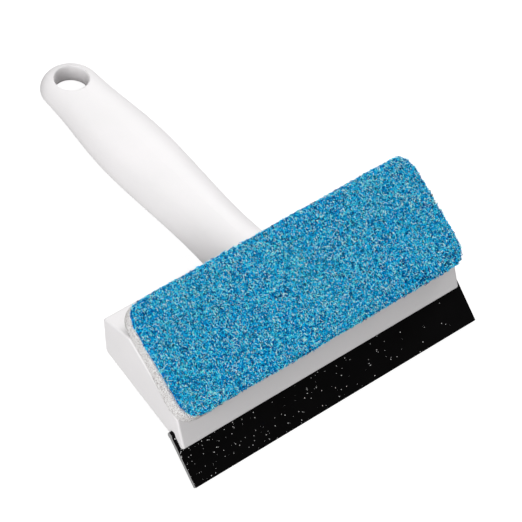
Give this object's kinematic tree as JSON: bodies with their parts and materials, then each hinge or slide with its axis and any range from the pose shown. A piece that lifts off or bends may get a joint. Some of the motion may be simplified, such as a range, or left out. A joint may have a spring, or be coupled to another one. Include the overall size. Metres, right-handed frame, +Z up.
{
  "type": "hand glass cleaner",
  "caption": "Handled hand glass cleaner: a rubber squeegee blade slides in a channel along the wedge head, and a scouring pad lifts off its hook tape seat.",
  "frame": {"origin": "on the surface that the cleaner lies on, midway between its ends and sides", "axes": "+Z up with the pad facing up, +Y from the blade towards the handle, +X along the blade; the cleaner lies on the blade's edge and the tail of the handle"},
  "size_m": [0.15, 0.1984, 0.0519],
  "materials": {
    "shell_plastic": "satin",
    "cover_plastic": "satin",
    "screw_steel": "satin",
    "blade_rubber": "satin",
    "tape_nylon": "hooked",
    "backing_cloth": "looped",
    "sponge_foam": "open cell foam",
    "scouring_fibre": "coarse non-woven"
  },
  "bodies": {
    "head": {"front_shell": "shell_plastic", "back_cover": "cover_plastic", "cover_screws": "screw_steel", "hook_tape": "tape_nylon"},
    "blade": {"squeegee_blade": "blade_rubber"},
    "pad": {"loop_backing": "backing_cloth", "sponge_body": "sponge_foam", "scouring_layer": "scouring_fibre"}
  },
  "joints": [
    {"name": "blade_slide", "type": "slide", "parent": "head", "child": "blade", "axis": [1, 0, 0], "range_m": [0, 0.15]},
    {"name": "pad_lift", "type": "slide", "parent": "head", "child": "pad", "axis": [0, -0.3794, 0.9252], "range_m": [0, 0.03]}
  ]
}
